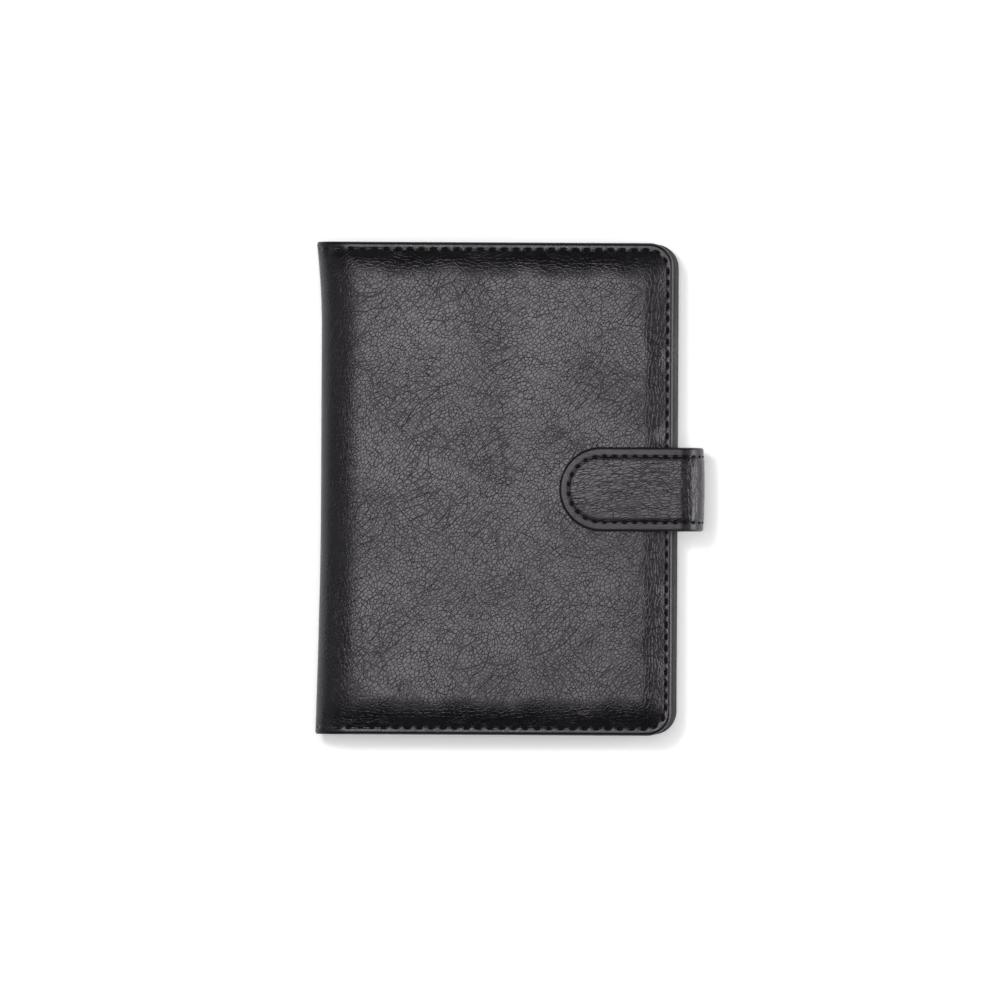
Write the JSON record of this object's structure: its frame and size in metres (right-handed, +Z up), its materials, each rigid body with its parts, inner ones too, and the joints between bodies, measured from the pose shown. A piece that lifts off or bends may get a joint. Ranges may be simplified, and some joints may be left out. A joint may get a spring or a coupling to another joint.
{
  "type": "travel document holder",
  "caption": "Padded book-style travel document holder with a soft spine, inside pockets for a passport and cards, and a magnetic strap round the fore-edge.",
  "frame": {"origin": "middle of the flat underside of the closed holder's rear cover", "axes": "+X from the spine to the fore-edge and the strap, +Y up the cover along the spine, +Z up through the closed covers"},
  "size_m": [0.1114, 0.142, 0.0192],
  "materials": {
    "skin_leather": "black grained, semi-matt",
    "pocket_leather": "black fine grained, matt",
    "lining_cloth": "black fine woven, matt",
    "foam": "open-cell foam, matt",
    "greyboard": "pressed board, matt",
    "thread": "black twisted thread",
    "steel": "plated"
  },
  "bodies": {
    "rear_cover": {"rear_outer_skin": "skin_leather", "rear_foam_pad": "foam", "rear_board": "greyboard", "rear_lining": "lining_cloth", "passport_sleeve": "pocket_leather", "chip_card_pocket": "pocket_leather", "rear_seam_thread": "thread", "strap_root_skin": "skin_leather", "strap_root_core": "greyboard", "strap_root_lining": "pocket_leather"},
    "spine": {"spine_outer_skin": "skin_leather", "spine_lining": "lining_cloth"},
    "front_cover": {"front_outer_skin": "skin_leather", "front_foam_pad": "foam", "catch_plate": "steel", "front_board": "greyboard", "front_lining": "lining_cloth", "slip_pocket": "pocket_leather", "card_pocket_lower": "pocket_leather", "card_pocket_middle": "pocket_leather", "card_pocket_upper": "pocket_leather", "front_seam_thread": "thread"},
    "strap_bend": {"strap_bend_skin": "skin_leather", "strap_bend_core": "greyboard", "strap_bend_lining": "pocket_leather"},
    "strap_tab": {"strap_tab_skin": "skin_leather", "strap_tab_core": "greyboard", "strap_tab_lining": "pocket_leather", "strap_magnet": "steel", "strap_tab_thread": "thread"}
  },
  "joints": [
    {"name": "spine_fold", "type": "hinge", "parent": "rear_cover", "child": "spine", "pos_m": [-0.05318, 0, 0.00371], "axis": [0, -1, 0], "range_deg": [0, 90], "deforming": ["strap_tab_skin", "strap_tab_core", "strap_tab_lining", "strap_magnet", "strap_tab_thread"]},
    {"name": "cover_fold", "type": "hinge", "parent": "spine", "child": "front_cover", "pos_m": [-0.05318, 0, 0.01244], "axis": [0, -1, 0], "range_deg": [0, 90]},
    {"name": "strap_swing", "type": "hinge", "parent": "rear_cover", "child": "strap_bend", "pos_m": [0.05454, 0, 0.00438], "axis": [0, 1, 0], "range_deg": [0, 90]},
    {"name": "strap_lift", "type": "hinge", "parent": "strap_bend", "child": "strap_tab", "pos_m": [0.05454, 0, 0.01637], "axis": [0, 1, 0], "range_deg": [0, 90]}
  ],
  "couplings": [
    {"joint": "cover_fold", "follows": "spine_fold", "ratio": 1}
  ]
}
